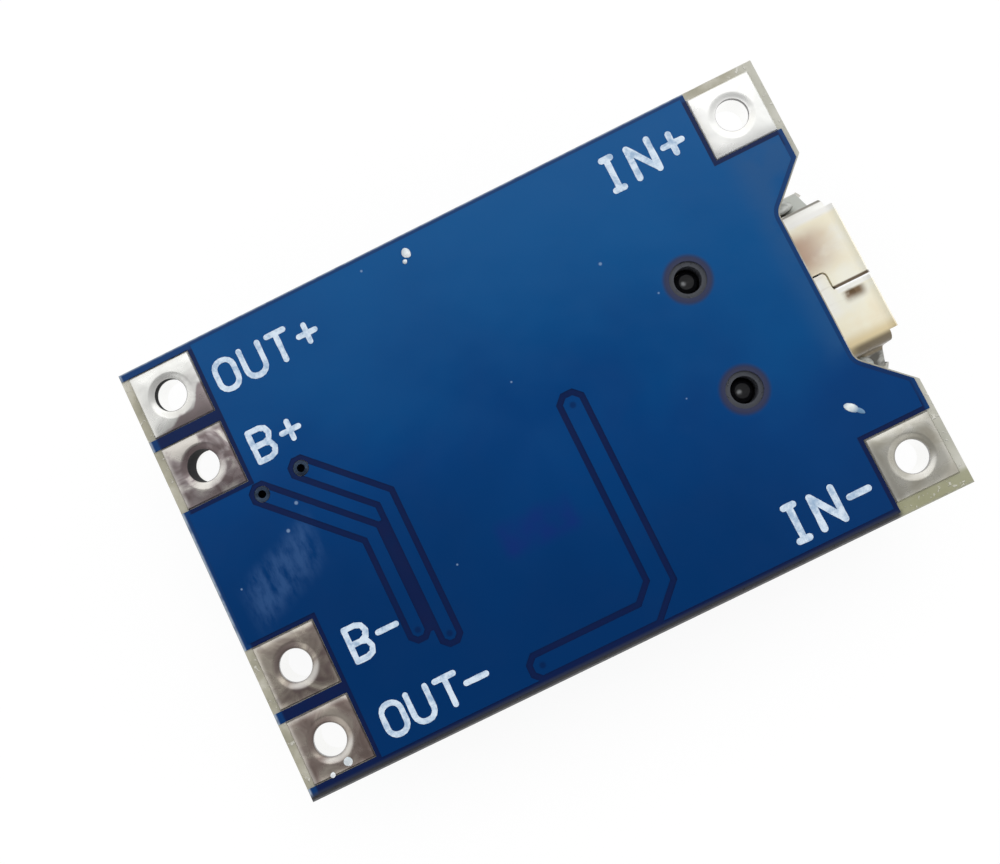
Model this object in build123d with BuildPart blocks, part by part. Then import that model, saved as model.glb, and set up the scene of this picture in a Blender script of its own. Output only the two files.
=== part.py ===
"""Lithium battery charger module: a small two-layer board with a mini USB socket and its charging chips.

The module lies as it is photographed, on its components. +Z leaves the back of the board, +X points to
the socket, and +Y points to the plus terminals. The origin is on the back, at the middle of the board.
"""

import os
from collections import namedtuple
from math import atan, atan2, cos, degrees, hypot, radians, sin

from build123d import *

os.makedirs("parts", exist_ok=True)

# Board, in millimetres
board_length = 26.0
board_width = 17.1
core_thickness = 1.0
score_depth = 0.3  # V groove on each face of an edge, left when the panel is snapped apart
score_width = 0.12
artwork_shift = 0.08  # the print lies this far towards the plus side of the cut board

# Copper foil and solder mask. The foil lies hidden: the mask rises where there is foil under it
foil_thickness = 0.05
mask_thickness = 0.03
mask_dip = 0.025  # how far the mask sinks where there is no foil
mask_edge_gap = 0.15
mask_mouth_gap = 0.3  # at the socket edge
mask_cut_gap = 0.06
pour_edge_gap = 0.36
pour_cut_gap = 0.22

# Wire pads, one square land on each face and a plated barrel
pad_size = 2.42
pad_edge_gap = 0.42
pad_row_inset = 1.7  # from the long edge of the artwork to the outer row
pad_pitch = 2.88  # from the outer row to the battery pads
pad_hole_radius = 0.6
pad_plating = 0.16
pad_bevel = 0.04
pad_moat = 0.2
pad_mask_gap = 0.03
tin_thickness = 0.02

# Notch in the board at the mouth of the socket
notch_mouth = 9.3
notch_floor = 5.85
notch_depth = 1.77
notch_corner = 0.5

# Locating pegs of the socket and their holes
peg_spacing = 4.4
peg_setback = 5.73  # from the edge of the board
peg_radius = 0.42
peg_length = 0.75
peg_root = 0.5  # how deep the pegs stand in the socket
peg_bevel = 0.15
peg_shell_gap = 0.12
peg_hole_radius = 0.5
peg_mask_radius = 0.68

# Traces on the back, and the small plated holes that two of them start from
signal_width = 0.46
power_width = 0.65
trace_moat = 0.23
via_bore_radius = 0.15
via_plating = 0.05
via_land_radius = 0.28
via_mask_gap = 0.02
via_sides = 16  # so small a hole is cut with this many sides
sense_via = (4.81, 2.31)  # from the output edge and from the middle of the artwork
drive_via = (3.13, 2.08)
lower_via = (6.13, -4.73)
side_via = (7.1, -5.33)
power_via_x = 9.58  # from the output edge
power_run_inset = 0.8  # from the long edge of the artwork to the middle of the power trace
power_bend = 0.87
socket_via = (11.4, 0.0)  # from the socket edge and from the middle of the artwork

# Socket shell, folded from one sheet
shell_sheet = 0.25
shell_length = 9.2
mouth_overhang = 0.6  # how far the mouth stands out over the edge of the board
shell_height = 3.95
shell_half_width = 3.85
neck_half_width = 2.9
neck_lean = 0.1
neck_depth = 1.35
shoulder_depth = 2.0
shell_corner = 0.6
neck_corner = 0.4
lip_radius = 0.6
lip_angle = 32.0
wide_lip_width = 5.4
neck_lip_width = 5.1
side_lip_width = 1.0
seam_gap = 0.07
seam_swing = 0.38
seam_first_bend = 1.5  # from the mouth
seam_tongue = 1.5
seam_round = 0.18
dent_radius = 0.22
dent_depth = 0.08
dent_place = (1.05, -0.75)  # from the mouth and from the middle of the socket
tab_length = 1.6
tab_reach = 4.95
tab_bend = 0.4
tab_start = 4.25  # from the mouth to the middle of the front tabs
tab_spacing = 4.0
spring_length = 2.8
spring_width = 1.1
spring_slot = 0.25
spring_setback = 2.2
spring_offset = 1.75
spring_dip = 0.35
spring_bends = (0.35, 0.8)  # shares of the finger's length
flap_width = 5.2
flap_end = 1.95  # distance that the flap stays from the board
flap_bend = 0.3

# Plastic housing and contacts of the socket
housing_gap = 0.05
block_length = 4.3
tongue_tip = 1.0  # from the mouth
tongue_width = 4.4
tongue_thickness = 0.9
tongue_depth = 2.0  # from the board to the middle of the tongue
tongue_taper = 0.2
contact_count = 5
contact_pitch = 0.8
contact_width = 0.3
contact_thickness = 0.12
contact_tip_gap = 0.35
contact_bend = 0.2
contact_drop = 0.35  # from the rear of the shell to the drop of the tails
contact_foot = 0.75

# Chip packages: leads run along the body's length and reach out on both sides
Package = namedtuple(
    "Package", "length width height standoff pitch per_side lead thick span foot slug marked"
)
charger_package = Package(4.9, 3.9, 1.5, 0.1, 1.27, 4, 0.41, 0.2, 6.0, 0.6, (3.2, 2.3), True)
protector_package = Package(2.9, 1.6, 1.1, 0.08, 0.95, 3, 0.38, 0.14, 2.8, 0.38, None, False)
switch_package = Package(3.0, 4.4, 1.05, 0.1, 0.65, 4, 0.25, 0.13, 6.4, 0.6, None, True)
body_draft = 7.0
lead_bend = 0.07
knee_share = 0.5  # of the lead's reach before its foot
pin_mark_radius = 0.22
pin_mark_depth = 0.05
pin_mark_inset = 0.6

# Chip resistors, capacitors and indicators
Chip = namedtuple("Chip", "length width height band")
small_resistor = Chip(1.6, 0.8, 0.45, 0.3)
small_capacitor = Chip(1.6, 0.8, 0.8, 0.35)
large_capacitor = Chip(2.0, 1.25, 1.1, 0.45)
indicator = Chip(1.6, 0.8, 0.3, 0.3)
chip_skin = 0.03
coat_thickness = 0.02
lens_height = 0.45
lens_draft = 6.0

# Lands on the component side, and the solder on them
land_toe = 0.3
land_heel = 0.3
land_side = 0.06
land_mask_gap = 0.03
solder_climb = 0.7  # share of a lead's thickness or a chip's height that the solder climbs
solder_hollow = 0.35  # where the hollow face of the solder passes, as a share of its foot and its climb

# Levels
core_top = -(foil_thickness + mask_thickness)
core_bottom = core_top - core_thickness
front_face = core_bottom - foil_thickness - mask_thickness

# Places that follow from the sizes
output_edge = -board_length / 2
socket_edge = board_length / 2
pad_x = board_length / 2 - pad_edge_gap - pad_size / 2
outer_row = board_width / 2 - pad_row_inset
inner_row = outer_row - pad_pitch
input_pads = [(pad_x, artwork_shift + outer_row), (pad_x, artwork_shift - outer_row)]
output_pads = [(-pad_x, artwork_shift + outer_row), (-pad_x, artwork_shift - outer_row)]
battery_pads = [(-pad_x, artwork_shift + inner_row), (-pad_x, artwork_shift - inner_row)]
wire_pads = input_pads + output_pads + battery_pads
artwork_length = board_length - mask_edge_gap - mask_mouth_gap
artwork_middle = (mask_edge_gap - mask_mouth_gap) / 2
pour_mask_gap = pour_edge_gap - mask_edge_gap
peg_x = socket_edge - peg_setback
pegs = [(peg_x, artwork_shift + peg_spacing / 2), (peg_x, artwork_shift - peg_spacing / 2)]


def from_output(point):
    """Point of the artwork that is measured from the output edge."""
    return (output_edge + point[0], artwork_shift + point[1])


sense = from_output(sense_via)
drive = from_output(drive_via)
lower = from_output(lower_via)
side = from_output(side_via)
power_row = artwork_shift - board_width / 2 + power_run_inset
power_end = (output_edge + power_via_x, power_row)
power_start = (socket_edge - socket_via[0], artwork_shift + socket_via[1])
open_vias = [sense, drive]

# Traces on the back, each a run of points, with bends at 45 degrees
sense_run = [sense, (side[0], sense[1] - (side[0] - sense[0])), side]
drive_run = [drive, (lower[0], drive[1] - (lower[0] - drive[0])), lower]
power_run = [
    power_start,
    (power_start[0], power_row + power_bend),
    (power_start[0] - power_bend, power_row),
    power_end,
]
back_runs = [(sense_run, signal_width), (drive_run, signal_width), (power_run, power_width)]
# No foil is left between the two signal traces where they run side by side
between_x = (lower[0] + side[0]) / 2
between_run = [(between_x, drive_run[1][1]), (between_x, lower[1])]


def track(points, width, mode=Mode.ADD):
    """Strip of one width along a run whose bends are of 45 degrees, with cut corners at bends and ends."""
    with Locations(*points):
        RegularPolygon(width / 2, 8, major_radius=False, rotation=22.5, mode=mode)
    for start, end in zip(points, points[1:]):
        step = (end[0] - start[0], end[1] - start[1])
        with Locations(((start[0] + end[0]) / 2, (start[1] + end[1]) / 2)):
            Rectangle(hypot(*step), width, rotation=degrees(atan2(step[1], step[0])), mode=mode)


def notch(grow=0.0):
    """Notch at the mouth of the socket, wider all round by grow."""
    past_edge = 1.0
    outline = [
        (-notch_depth, notch_floor / 2),
        (0, notch_mouth / 2),
        (past_edge, notch_mouth / 2),
        (past_edge, -notch_mouth / 2),
        (0, -notch_mouth / 2),
        (-notch_depth, -notch_floor / 2),
    ]
    with BuildSketch() as opening:
        with Locations((socket_edge, artwork_shift)):
            Polygon(*outline, align=None)
        fillet(opening.vertices().group_by(Axis.X)[0], notch_corner)
        if grow:
            offset(amount=grow)
    return opening.sketch


def board_face():
    """Flat part of a face of the board, inside the bevels and round the notch."""
    with BuildSketch() as face:
        Rectangle(board_length - 2 * score_width, board_width - 2 * score_width)
        add(notch(mask_cut_gap), mode=Mode.SUBTRACT)
    return face.sketch


def pad_moats():
    """Fields without foil round the wire pads. The two pads of one corner share one field."""
    frame = pad_size + 2 * pad_moat
    middle = (outer_row + inner_row) / 2
    with BuildSketch() as moats:
        with Locations(*input_pads):
            Rectangle(frame, frame)
        with Locations((-pad_x, artwork_shift + middle), (-pad_x, artwork_shift - middle)):
            Rectangle(frame, frame + pad_pitch)
    return moats.sketch


def raised_field():
    """Where the mask of the back lies on foil: the pour with its moats, and the traces in them."""
    with BuildSketch() as raised:
        with Locations((artwork_middle, artwork_shift)):
            Rectangle(artwork_length - 2 * pour_mask_gap, board_width - 2 * pour_edge_gap)
        add(notch(pour_cut_gap), mode=Mode.SUBTRACT)
        add(pad_moats(), mode=Mode.SUBTRACT)
        for run, width in back_runs:
            track(run, width + 2 * trace_moat, mode=Mode.SUBTRACT)
        track(between_run, side[0] - lower[0] - signal_width, mode=Mode.SUBTRACT)
        for run, width in back_runs:
            track(run, width)
    return raised.sketch


def pad_windows():
    """Openings of the mask at the wire pads, which run out over the edge of the board."""
    reach = 2 * pad_size
    inner_x = pad_x - pad_size / 2 - pad_mask_gap
    inner_y = outer_row - pad_size / 2 - pad_mask_gap
    window = pad_size + 2 * pad_mask_gap
    with BuildSketch() as windows:
        for row_side, y_align in ((1, Align.MIN), (-1, Align.MAX)):
            with Locations((inner_x, artwork_shift + row_side * inner_y)):
                Rectangle(reach, reach, align=(Align.MIN, y_align))
            with Locations((-inner_x, artwork_shift + row_side * outer_row)):
                Rectangle(reach, window, align=(Align.MAX, Align.CENTER))
            with Locations((-inner_x, artwork_shift + row_side * inner_row)):
                Rectangle(reach, window, align=(Align.MAX, Align.CENTER))
    return windows.sketch


def mask_outline():
    """Solder mask of one face, open at the wire pads."""
    with BuildSketch() as mask:
        with Locations((artwork_middle, artwork_shift)):
            Rectangle(artwork_length, board_width - 2 * mask_edge_gap)
        add(board_face(), mode=Mode.INTERSECT)
        add(pad_windows(), mode=Mode.SUBTRACT)
    return mask.sketch


def back_mask():
    """Solder mask of the back, open also at the pegs and the two plated holes."""
    with BuildSketch() as mask:
        add(mask_outline())
        with Locations(*pegs):
            Circle(peg_mask_radius, mode=Mode.SUBTRACT)
        with Locations(*open_vias):
            RegularPolygon(via_land_radius + via_mask_gap, via_sides, mode=Mode.SUBTRACT)
    return mask.sketch


def seat(x, y, turn=0.0):
    """Plane on the component side at a point of the board, facing away from the board."""
    along = (cos(radians(turn)), sin(radians(turn)), 0)
    return Plane(origin=(x, y, front_face), x_dir=along, z_dir=(0, 0, -1))


# Where each part sits on the component side: its middle, as shares of half the board, and its turn
Part_place = namedtuple("Part_place", "name x y turn")


def at(name, along, across, turn=0.0):
    """Place of a part on the component side, in the same share of the board whatever the board's size."""
    return Part_place(name, along * board_length / 2, across * board_width / 2, turn)


upper_row = 0.825
second_row = 0.62
charger_place = at("charge_controller", -0.146, 0.047)
protector_place = at("protection_chip", -0.615, 0.538)
switch_place = at("switch_chip", -0.395, -0.643, 90.0)
resistor_places = [
    at("resistor_1", 0.1, second_row),
    at("resistor_2", -0.115, second_row),
    at("resistor_3", 0.09, -0.41),
    at("resistor_4", 0.146, -0.655, 90.0),
    at("resistor_5", -0.6, 0.865),
    at("resistor_6", -0.66, 0.035),
]
small_capacitor_places = [at("capacitor_3", -0.4, 0.49, 90.0)]
large_capacitor_places = [at("capacitor_1", 0.6, 0.854), at("capacitor_2", -0.285, upper_row)]
indicator_places = [at("indicator_red", 0.338, upper_row), at("indicator_blue", 0.123, upper_row)]
packages = [
    (charger_place, charger_package),
    (protector_place, protector_package),
    (switch_place, switch_package),
]
resistors = [(place, small_resistor) for place in resistor_places]
capacitors = [(place, small_capacitor) for place in small_capacitor_places]
capacitors += [(place, large_capacitor) for place in large_capacitor_places]
indicators = [(place, indicator) for place in indicator_places]

# Socket: its mouth stands out over the notch, and distances run inwards from there
mouth_x = socket_edge + mouth_overhang
socket_plane = Plane(origin=(mouth_x, artwork_shift, front_face), x_dir=(0, 1, 0), z_dir=(-1, 0, 0))
lip_reach = (lip_radius + shell_sheet / 2) * sin(radians(lip_angle))
flap_run = flap_bend + shell_sheet / 2
shell_end = shell_length - flap_run - shell_sheet / 2
tail_x = mouth_x - shell_end - contact_drop
tail_foot_x = tail_x - contact_foot
contact_rows = [artwork_shift + (i - (contact_count - 1) / 2) * contact_pitch for i in range(contact_count)]
tab_xs = [mouth_x - tab_start, mouth_x - tab_start - tab_spacing]
tail_row_middle = (tail_x + tail_foot_x) / 2
tab_wall = shell_half_width - shell_sheet
tab_land_length = tab_reach - tab_wall + land_toe


def land_windows():
    """Openings of the mask on the component side: one for each row of leads, chip end and socket foot."""
    margin = 2 * land_mask_gap
    with BuildSketch() as windows:
        for place, package in packages:
            row = package.span / 2 - package.foot / 2 + (land_toe - land_heel) / 2
            length = (package.per_side - 1) * package.pitch + package.lead + 2 * land_side
            depth = package.foot + land_toe + land_heel
            with Locations(Location((place.x, place.y, 0), place.turn)):
                with Locations((0, row), (0, -row)):
                    Rectangle(length + margin, depth + margin)
                if package.slug:
                    Rectangle(package.slug[0] + margin, package.slug[1] + margin)
        for place, chip in resistors + capacitors + indicators:
            end = chip.length / 2 - chip.band + (chip.band + land_toe) / 2
            with Locations(Location((place.x, place.y, 0), place.turn)):
                with Locations((end, 0), (-end, 0)):
                    Rectangle(chip.band + land_toe + margin, chip.width + 2 * land_side + margin)
        tail_row = (contact_count - 1) * contact_pitch + contact_width + 2 * land_side
        with Locations((tail_row_middle + (land_heel - land_toe) / 2, artwork_shift)):
            Rectangle(contact_foot + land_toe + land_heel + margin, tail_row + margin)
        foot_middle = tab_wall + tab_land_length / 2
        for x in tab_xs:
            with Locations((x, artwork_shift + foot_middle), (x, artwork_shift - foot_middle)):
                Rectangle(tab_length + 2 * land_side + margin, tab_land_length + margin)
        peg_window = 2 * peg_mask_radius
        with Locations(*pegs):
            Rectangle(peg_window, peg_window)
    return windows.sketch


# Board core: scored edges, drilled and plain holes, and the notch
score_angle = degrees(atan(score_width / score_depth))
with BuildPart() as laminate:
    with BuildSketch(Plane.XY.offset(core_top - score_depth)):
        Rectangle(board_length, board_width)
    extrude(amount=-(core_thickness - 2 * score_depth))
    with BuildSketch(Plane.XY.offset(core_top - score_depth)):
        Rectangle(board_length, board_width)
    extrude(amount=score_depth, taper=score_angle)
    with BuildSketch(Plane.XY.offset(core_bottom + score_depth)):
        Rectangle(board_length, board_width)
    extrude(amount=-score_depth, taper=score_angle)
    with BuildSketch(Plane.XY.offset(core_top)):
        add(notch())
        with Locations(*wire_pads):
            Circle(pad_hole_radius + pad_plating)
        with Locations(*pegs):
            Circle(peg_hole_radius)
        with Locations(*open_vias):
            RegularPolygon(via_bore_radius + via_plating, via_sides)
    extrude(amount=-core_thickness, mode=Mode.SUBTRACT)
laminate.part.label = "laminate"


# Solder mask of the back: one coat that rises over the foil
mask_floor = foil_thickness + mask_thickness - mask_dip
with BuildPart() as solder_mask_back:
    with BuildSketch(Plane.XY.offset(core_top)):
        add(back_mask())
    extrude(amount=mask_floor)
    with BuildSketch(Plane.XY.offset(core_top + mask_floor)):
        add(raised_field())
        add(back_mask(), mode=Mode.INTERSECT)
    extrude(amount=mask_dip)
solder_mask_back.part.label = "solder_mask_back"

# Solder mask of the component side
with BuildPart() as solder_mask_front:
    with BuildSketch(Plane.XY.offset(core_bottom)):
        add(mask_outline())
        add(land_windows(), mode=Mode.SUBTRACT)
    extrude(amount=front_face - core_bottom)
solder_mask_front.part.label = "solder_mask_front"


def wire_pad(x, y):
    """Tinned square land on each face, joined by a plated barrel, with bevelled edges on the back."""
    land = foil_thickness + tin_thickness
    with BuildPart() as pad:
        for level, growth in ((core_top, land), (core_bottom, -land)):
            with BuildSketch(Plane.XY.offset(level)):
                with Locations((x, y)):
                    Rectangle(pad_size, pad_size)
            extrude(amount=growth)
        with BuildSketch(Plane.XY.offset(core_top)):
            with Locations((x, y)):
                Circle(pad_hole_radius + pad_plating)
        extrude(amount=-core_thickness)
        with BuildSketch(Plane.XY.offset(core_top + land)):
            with Locations((x, y)):
                Circle(pad_hole_radius)
        extrude(amount=-(core_thickness + 2 * land), mode=Mode.SUBTRACT)
        chamfer(pad.faces().sort_by(Axis.Z)[-1].edges().filter_by(GeomType.LINE), pad_bevel)
    return pad


pads = {
    "pad_input_plus": wire_pad(*input_pads[0]),
    "pad_input_minus": wire_pad(*input_pads[1]),
    "pad_output_plus": wire_pad(*output_pads[0]),
    "pad_output_minus": wire_pad(*output_pads[1]),
    "pad_battery_plus": wire_pad(*battery_pads[0]),
    "pad_battery_minus": wire_pad(*battery_pads[1]),
}
for name, pad in pads.items():
    pad.part.label = name

# Small plated holes: a barrel through the core and a tinned rim on the back
with BuildPart() as vias:
    rim = foil_thickness + tin_thickness
    with BuildSketch(Plane.XY.offset(core_top)):
        with Locations(*open_vias):
            RegularPolygon(via_bore_radius + via_plating, via_sides)
    extrude(amount=-core_thickness)
    with BuildSketch(Plane.XY.offset(core_top)):
        with Locations(*open_vias):
            RegularPolygon(via_land_radius, via_sides)
    extrude(amount=rim)
    with BuildSketch(Plane.XY.offset(core_top + rim)):
        with Locations(*open_vias):
            RegularPolygon(via_bore_radius, via_sides)
    extrude(amount=-(core_thickness + rim), mode=Mode.SUBTRACT)
vias.part.label = "vias"


def bent(points, bend):
    """The same run with each corner cut off at that distance, as a tight bend of a thin strip."""
    run = [Vector(*point) for point in points]
    line = [run[0]]
    for before, corner, after in zip(run, run[1:], run[2:]):
        line.append(corner + (before - corner).normalized() * bend)
        line.append(corner + (after - corner).normalized() * bend)
    return line + [run[-1]]


def strip(plane, points, thickness, width):
    """Bent strip of sheet: its middle follows a run in the plane, and it is as wide as stated across it."""
    run = [Vector(*point) for point in points]
    steps = [(end - start).normalized() for start, end in zip(run, run[1:])]
    normals = [Vector(-step.Y, step.X) for step in steps]
    sides = [normals[0]]
    for before, after in zip(normals, normals[1:]):
        mitre = before + after
        sides.append(mitre * (2 / mitre.dot(mitre)))
    sides.append(normals[-1])
    left = [point + side * (thickness / 2) for point, side in zip(run, sides)]
    right = [point - side * (thickness / 2) for point, side in zip(run, sides)]
    with BuildPart() as sheet:
        with BuildSketch(plane):
            Polygon(*[(point.X, point.Y) for point in left + right[::-1]], align=None)
        extrude(amount=width / 2, both=True)
    return sheet.part


def shell_profile(inset=0.0):
    """Section of the socket shell: a narrow neck against the board and a wide body away from it."""
    half = [
        (neck_half_width, 0),
        (neck_half_width + neck_lean, neck_depth),
        (shell_half_width, shoulder_depth),
        (shell_half_width, shell_height),
    ]
    other_half = [(-x, y) for x, y in reversed(half)]
    with BuildSketch() as profile:
        Polygon(*half, *other_half, align=None)
        levels = profile.vertices().group_by(Axis.Y)
        fillet(levels[0] + levels[1] + levels[2], neck_corner)
        fillet(profile.vertices().group_by(Axis.Y)[-1], shell_corner)
        if inset:
            offset(amount=-inset)
    return profile.sketch


def lip(start, outward, width):
    """Flared lip of the shell's mouth: a strip bent outwards, from the middle of the sheet at start."""
    toward_mouth = Vector(1, 0, 0)
    across = toward_mouth.cross(Vector(*outward))
    with BuildPart() as flare:
        with BuildLine(Plane(origin=start, x_dir=toward_mouth, z_dir=across)):
            CenterArc((0, lip_radius), lip_radius, -90, lip_angle)
        with BuildSketch(Plane(origin=start, x_dir=across, z_dir=toward_mouth)):
            Rectangle(width, shell_sheet)
        sweep()
    return flare.part


def shell_tab(x, tab_side):
    """Leg of the shell that runs down to the board and bends outwards into a soldered foot."""
    wall = shell_half_width - shell_sheet / 2
    top = shoulder_depth + 2 * shell_sheet
    plane = Plane(origin=(x, artwork_shift, front_face), x_dir=(0, tab_side, 0), z_dir=(-tab_side, 0, 0))
    run = [(wall, top), (wall, shell_sheet / 2), (tab_reach, shell_sheet / 2)]
    return strip(plane, bent(run, tab_bend), shell_sheet, tab_length)


def shell_spring(spring_side):
    """Spring finger of the wide face, which bends into the socket."""
    root_x = mouth_x - spring_setback - spring_length
    root = (root_x, artwork_shift + spring_side * spring_offset, front_face - shell_height + shell_sheet / 2)
    reach = spring_length - spring_slot
    first, second = spring_bends
    run = [(0, 0), (first * reach, 0), (second * reach, spring_dip), (reach, spring_dip / 2)]
    return strip(Plane(origin=root, x_dir=(1, 0, 0), z_dir=(0, -1, 0)), run, shell_sheet, spring_width)


def shell_flap():
    """Rear flap, folded from the wide face towards the board."""
    root = (mouth_x - shell_end, artwork_shift, front_face - shell_height + shell_sheet / 2)
    rise = shell_height - shell_sheet / 2 - flap_end
    run = bent([(0, 0), (flap_run, 0), (flap_run, rise)], flap_bend)
    return strip(Plane(origin=root, x_dir=(-1, 0, 0), z_dir=(0, 1, 0)), run, shell_sheet, flap_width)


def seam_cut():
    """Seam of the folded sheet, a thin gap along the neck that goes round one dovetail tongue."""
    low, high = -seam_swing, seam_swing
    tongue_end = seam_first_bend + seam_tongue
    points = [(0, low), (seam_first_bend, low), (seam_first_bend, high), (tongue_end, high)]
    points += [(tongue_end, low), (shell_end + shell_sheet, low)]
    depth = shell_sheet + lip_radius * (1 - cos(radians(lip_angle)))
    plane = Plane(origin=(mouth_x, artwork_shift, front_face), x_dir=(-1, 0, 0), z_dir=(0, 0, -1))
    start = plane.from_local_coords(Vector(0, low, 0))
    with BuildPart() as cut:
        with BuildLine(plane):
            FilletPolyline(*points, radius=seam_round)
        with BuildSketch(Plane(origin=start, x_dir=(0, 1, 0), z_dir=(-1, 0, 0))):
            Rectangle(seam_gap, 2 * depth)
        sweep()
    return cut.part


# Socket shell: folded tube with lips, tabs, spring fingers, rear flap and seam
with BuildPart() as socket_shell:
    with BuildSketch(socket_plane.offset(lip_reach)):
        add(shell_profile())
        add(shell_profile(shell_sheet), mode=Mode.SUBTRACT)
    extrude(amount=shell_end - lip_reach)
    lip_x = mouth_x - lip_reach
    side_middle = front_face - (shoulder_depth + shell_height) / 2
    half_wall = shell_half_width - shell_sheet / 2
    add(lip((lip_x, artwork_shift, front_face - shell_sheet / 2), (0, 0, 1), neck_lip_width))
    add(lip((lip_x, artwork_shift, front_face - shell_height + shell_sheet / 2), (0, 0, -1), wide_lip_width))
    add(lip((lip_x, artwork_shift + half_wall, side_middle), (0, 1, 0), side_lip_width))
    add(lip((lip_x, artwork_shift - half_wall, side_middle), (0, -1, 0), side_lip_width))
    for x in tab_xs:
        for tab_side in (-1, 1):
            add(shell_tab(x, tab_side))
    wide_face = Plane(
        origin=(mouth_x, artwork_shift, front_face - shell_height), x_dir=(-1, 0, 0), z_dir=(0, 0, -1)
    )
    with BuildSketch(wide_face):
        window_middle = spring_setback + spring_length / 2
        with Locations((window_middle, spring_offset), (window_middle, -spring_offset)):
            Rectangle(spring_length, spring_width + 2 * spring_slot)
    extrude(amount=-shell_sheet, mode=Mode.SUBTRACT)
    for spring_side in (-1, 1):
        add(shell_spring(spring_side))
    add(shell_flap())
    add(seam_cut(), mode=Mode.SUBTRACT)
    with BuildSketch(Plane.XY.offset(front_face)):
        peg_window = 2 * (peg_radius + peg_shell_gap)
        with Locations(*pegs):
            Rectangle(peg_window, peg_window)
    extrude(amount=-(peg_root + peg_shell_gap), mode=Mode.SUBTRACT)
    dent_sphere = (dent_radius**2 + dent_depth**2) / (2 * dent_depth)
    dent_at = (mouth_x - dent_place[0], artwork_shift + dent_place[1])
    with Locations((dent_at[0], dent_at[1], front_face - dent_depth + dent_sphere)):
        Sphere(dent_sphere, mode=Mode.SUBTRACT)
socket_shell.part.label = "socket_shell"


def contact(y):
    """Contact of the socket: flat on the tongue, straight through the block, then down to the board."""
    depth = tongue_depth - tongue_thickness / 2 + contact_thickness / 2
    tip_x = mouth_x - tongue_tip - contact_tip_gap
    plane = Plane(origin=(tip_x, y, front_face), x_dir=(-1, 0, 0), z_dir=(0, 1, 0))
    drop = tip_x - tail_x
    low = -contact_thickness / 2
    run = [(0, -depth), (drop, -depth), (drop, low), (drop + contact_foot, low)]
    return strip(plane, bent(run, contact_bend), contact_thickness, contact_width)


# Socket contacts, one node of separate strips
with BuildPart() as socket_contacts:
    for row in contact_rows:
        add(contact(row))
socket_contacts.part.label = "socket_contacts"

# Socket housing: rear block, tongue and the two pegs that locate it in the board
with BuildPart() as socket_housing:
    with BuildSketch(socket_plane.offset(shell_end - block_length)):
        add(shell_profile(shell_sheet + housing_gap))
    extrude(amount=block_length)
    with BuildSketch(socket_plane.offset(shell_end - block_length)):
        with Locations((0, tongue_depth)):
            Rectangle(tongue_width, tongue_thickness)
    extrude(amount=-(shell_end - block_length - tongue_tip))
    tip_face = socket_housing.faces().sort_by(Axis.X)[-1]
    chamfer(tip_face.edges().filter_by(Axis.Y), tongue_taper)
    with BuildSketch(Plane.XY.offset(front_face + peg_length)):
        with Locations(*pegs):
            Circle(peg_radius)
    extrude(amount=-(peg_length + peg_root))
    chamfer(socket_housing.faces().group_by(Axis.Z)[-1].edges(), peg_bevel)
    add(socket_contacts.part, mode=Mode.SUBTRACT)
socket_housing.part.label = "socket_housing"


def package_body(where, package):
    """Moulded body with drafted faces above and below the band where the leads leave it."""
    rise = (package.standoff + package.height) / 2
    band = package.thick / 2
    with BuildPart() as body:
        with BuildSketch(where.offset(rise - band)):
            Rectangle(package.length, package.width)
        extrude(amount=2 * band)
        with BuildSketch(where.offset(rise + band)):
            Rectangle(package.length, package.width)
        extrude(amount=package.height - rise - band, taper=body_draft)
        with BuildSketch(where.offset(rise - band)):
            Rectangle(package.length, package.width)
        extrude(amount=-(rise - band - package.standoff), taper=body_draft)
        if package.marked:
            with BuildSketch(where.offset(package.height)):
                with Locations((pin_mark_inset - package.length / 2, package.width / 2 - pin_mark_inset)):
                    Circle(pin_mark_radius)
            extrude(amount=-pin_mark_depth, mode=Mode.SUBTRACT)
    return body


def package_lead(package):
    """One lead, made beside the origin: out of the body, down, and along the board to its toe."""
    rise = (package.standoff + package.height) / 2
    root = package.width / 2
    heel = package.span / 2 - package.foot
    knee = root + knee_share * (heel - root)
    low = package.thick / 2
    run = [(root, rise), (knee, rise), (heel, low), (package.span / 2, low)]
    return strip(Plane.YZ, bent(run, lead_bend), package.thick, package.lead)


def package_leads(where, package):
    """All leads of a package, and the metal slug under the body of the one that has it."""
    lead = package_lead(package)
    first = -(package.per_side - 1) / 2 * package.pitch
    with BuildPart(where) as leads:
        for index in range(package.per_side):
            x = first + index * package.pitch
            with Locations(Location((x, 0, 0)), Location((x, 0, 0), (0, 0, 180))):
                add(lead)
        if package.slug:
            with BuildSketch(where):
                Rectangle(*package.slug)
            extrude(amount=package.standoff)
    return leads


def chip_body(where, chip, coated):
    """Ceramic body of a chip resistor or capacitor, between and inside its end bands."""
    skin = chip_skin
    width = chip.width if coated else chip.width - 2 * skin
    with BuildPart() as body:
        with BuildSketch(where.offset(skin)):
            Rectangle(chip.length - 2 * skin, width)
        extrude(amount=chip.height - 2 * skin)
        if coated:
            with BuildSketch(where.offset(chip.height - skin)):
                Rectangle(chip.length - 2 * chip.band, width)
            extrude(amount=coat_thickness)
    return body


def chip_ends(where, chip, body):
    """Tinned end bands, wrapped round the ends of the body."""
    middle = (chip.length - chip.band) / 2
    with BuildPart() as ends:
        with BuildSketch(where):
            with Locations((middle, 0), (-middle, 0)):
                Rectangle(chip.band, chip.width)
        extrude(amount=chip.height)
        add(body.part, mode=Mode.SUBTRACT)
    return ends


def indicator_lens(where, chip):
    """Clear drafted block over the middle of an indicator."""
    with BuildPart() as lens:
        with BuildSketch(where.offset(chip.height)):
            Rectangle(chip.length - 2 * chip.band, chip.width)
        extrude(amount=lens_height, taper=lens_draft)
    return lens


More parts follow.
